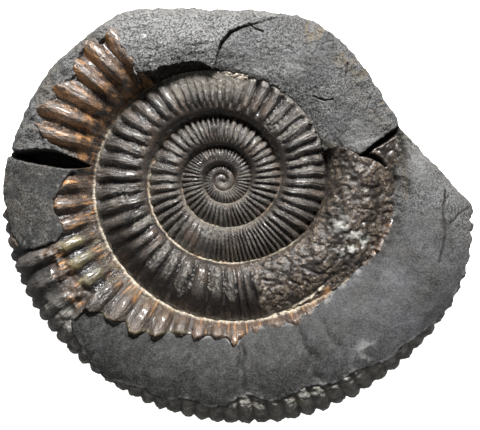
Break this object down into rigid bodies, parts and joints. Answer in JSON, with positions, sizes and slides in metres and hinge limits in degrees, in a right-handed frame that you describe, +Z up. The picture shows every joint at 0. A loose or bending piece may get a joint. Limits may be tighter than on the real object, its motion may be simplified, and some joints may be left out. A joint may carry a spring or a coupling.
{
  "type": "ammonite fossil",
  "caption": "Ribbed, loosely coiled ammonite fossil lying flat in dark grey mudstone, with bare brown shell on one side and cracks in the stone.",
  "frame": {"origin": "on the flat resting face, straight under the centre of the coil", "axes": "+Z up along the coil's axis, +X towards the pointed corner of the stone, +Y towards the block of stone above the coil"},
  "size_m": [0.0947, 0.084, 0.0196],
  "materials": {
    "fossil_shell": "dark brown-black mineral with a dull shine, bronze and orange where the shell is bare",
    "mudstone": "dark grey, fine-grained and matt"
  },
  "bodies": {
    "root": {"ammonite": "fossil_shell", "mudstone_matrix": "mudstone"}
  },
  "joints": []
}
